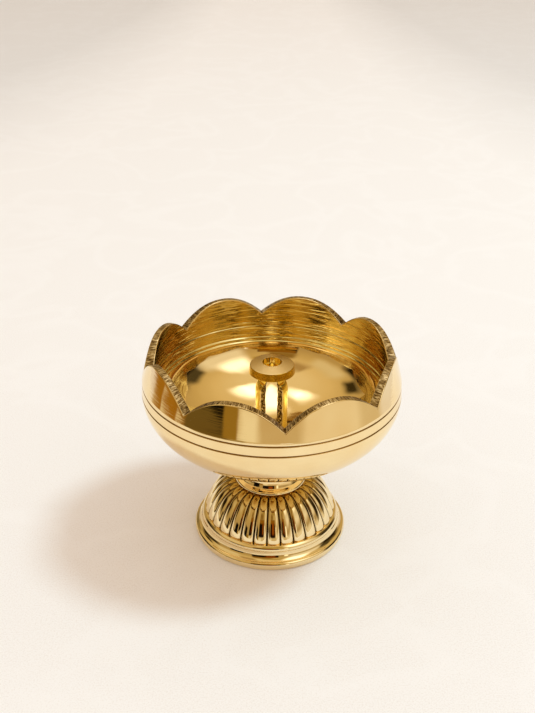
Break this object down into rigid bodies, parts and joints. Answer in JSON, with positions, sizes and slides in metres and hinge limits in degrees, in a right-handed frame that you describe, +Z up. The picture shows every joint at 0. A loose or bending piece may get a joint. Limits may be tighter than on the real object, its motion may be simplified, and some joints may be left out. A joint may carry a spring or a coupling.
{
  "type": "pedestal diya",
  "caption": "Brass pedestal oil lamp: petal-edged bowl with a slotted wick holder, on a turned neck and a fluted foot.",
  "frame": {"origin": "on the lamp's axis, in the plane that the foot rests on", "axes": "+Z up along the lamp's axis; -Y is the side that faces the camera in the picture, with one window of the wick holder on it"},
  "size_m": [0.1006, 0.1006, 0.0842],
  "materials": {
    "polished_brass": "cast brass, turned and buffed to a mirror",
    "satin_brass": "turned brass with fine lathe lines, cast cut faces",
    "black_rubber": "moulded nitrile rubber, matt",
    "plated_steel": "zinc plated"
  },
  "bodies": {
    "lamp_body": {"bowl": "polished_brass", "foot": "polished_brass", "neck_collar": "polished_brass", "fixing_stud": "plated_steel", "clamp_washer": "plated_steel", "clamp_nut": "plated_steel"},
    "seal": {"sealing_washer": "black_rubber"},
    "wick_holder": {"wick_stem": "satin_brass", "wick_disc": "satin_brass"}
  },
  "joints": [
    {"name": "wick_holder_lift", "type": "slide", "parent": "lamp_body", "child": "seal", "axis": [0, 0, 1], "range_m": [0, 0.05]},
    {"name": "wick_holder_turn", "type": "hinge", "parent": "seal", "child": "wick_holder", "pos_m": [0, 0, 0.0438], "axis": [0, 0, 1], "continuous": true}
  ]
}
